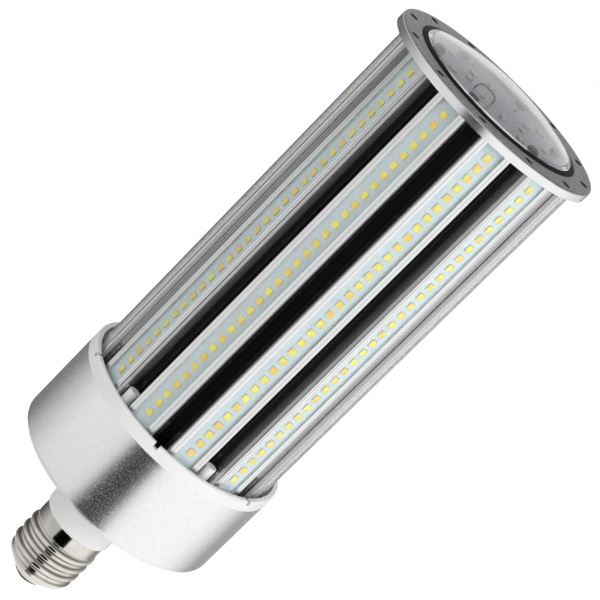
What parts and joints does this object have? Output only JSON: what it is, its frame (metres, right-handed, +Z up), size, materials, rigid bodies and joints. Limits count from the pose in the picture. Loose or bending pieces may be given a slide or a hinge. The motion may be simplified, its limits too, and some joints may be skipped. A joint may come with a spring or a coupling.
{
  "type": "mogul base led lamp",
  "caption": "Column LED lamp: finned aluminium channels hold LED boards round a dark core, over a round driver housing and a mogul screw cap, with a domed top lens.",
  "frame": {"origin": "tip of the centre contact, on the lamp's axis, at the bottom of the screw cap", "axes": "+Z up the lamp's axis from the screw cap to the lens; -Y is the front, where a slot and a rim notch lie"},
  "size_m": [0.122, 0.122, 0.3588],
  "materials": {
    "nickel": "nickel plate, softly polished",
    "dark_insulator": "dark glazed insulator",
    "white_plastic": "smooth white moulding",
    "silver_housing": "fine bead-blasted satin",
    "black_core": "black anodised",
    "aluminium": "extruded, with fine lengthwise draw lines",
    "white_board": "pale solder mask on a metal board",
    "clear_plastic": "clear and glossy",
    "phosphor": "yellow phosphor in a white package",
    "cast_flange": "grainy cast face, polished edge",
    "black_rubber": "matt sealant",
    "dark_steel": "blackened",
    "driver_laminate": "solder-masked laminate",
    "ferrite": "dark ferrite with a wrapped winding",
    "capacitor_can": "sleeved can",
    "lead_wire": "insulated lead"
  },
  "bodies": {
    "root": {"screw_shell": "nickel", "centre_contact": "nickel", "cap_insulator": "dark_insulator", "collar": "white_plastic", "rim_ring": "white_plastic", "fixing_caps": "white_plastic", "driver_housing": "silver_housing", "core_tube": "black_core", "base_plate": "black_core", "heat_sink_01": "aluminium", "heat_sink_02": "aluminium", "heat_sink_03": "aluminium", "heat_sink_04": "aluminium", "heat_sink_05": "aluminium", "heat_sink_06": "aluminium", "heat_sink_07": "aluminium", "heat_sink_08": "aluminium", "heat_sink_09": "aluminium", "heat_sink_10": "aluminium", "heat_sink_11": "aluminium", "heat_sink_12": "aluminium", "led_board_01": "white_board", "led_board_02": "white_board", "led_board_03": "white_board", "led_board_04": "white_board", "led_board_05": "white_board", "led_board_06": "white_board", "led_board_07": "white_board", "led_board_08": "white_board", "led_board_09": "white_board", "led_board_10": "white_board", "led_board_11": "white_board", "led_board_12": "white_board", "top_board": "white_board", "clear_strip_01": "clear_plastic", "clear_strip_02": "clear_plastic", "clear_strip_03": "clear_plastic", "clear_strip_04": "clear_plastic", "clear_strip_05": "clear_plastic", "clear_strip_06": "clear_plastic", "clear_strip_07": "clear_plastic", "clear_strip_08": "clear_plastic", "clear_strip_09": "clear_plastic", "clear_strip_10": "clear_plastic", "clear_strip_11": "clear_plastic", "clear_strip_12": "clear_plastic", "lens": "clear_plastic", "leds": "phosphor", "top_flange": "cast_flange", "lens_seal": "black_rubber", "pan_screws": "dark_steel", "board_posts": "dark_steel", "driver_board": "driver_laminate", "transformer": "ferrite", "capacitors": "capacitor_can", "contact_lead": "lead_wire", "shell_lead": "lead_wire", "supply_leads": "lead_wire", "board_link": "lead_wire"}
  },
  "joints": []
}
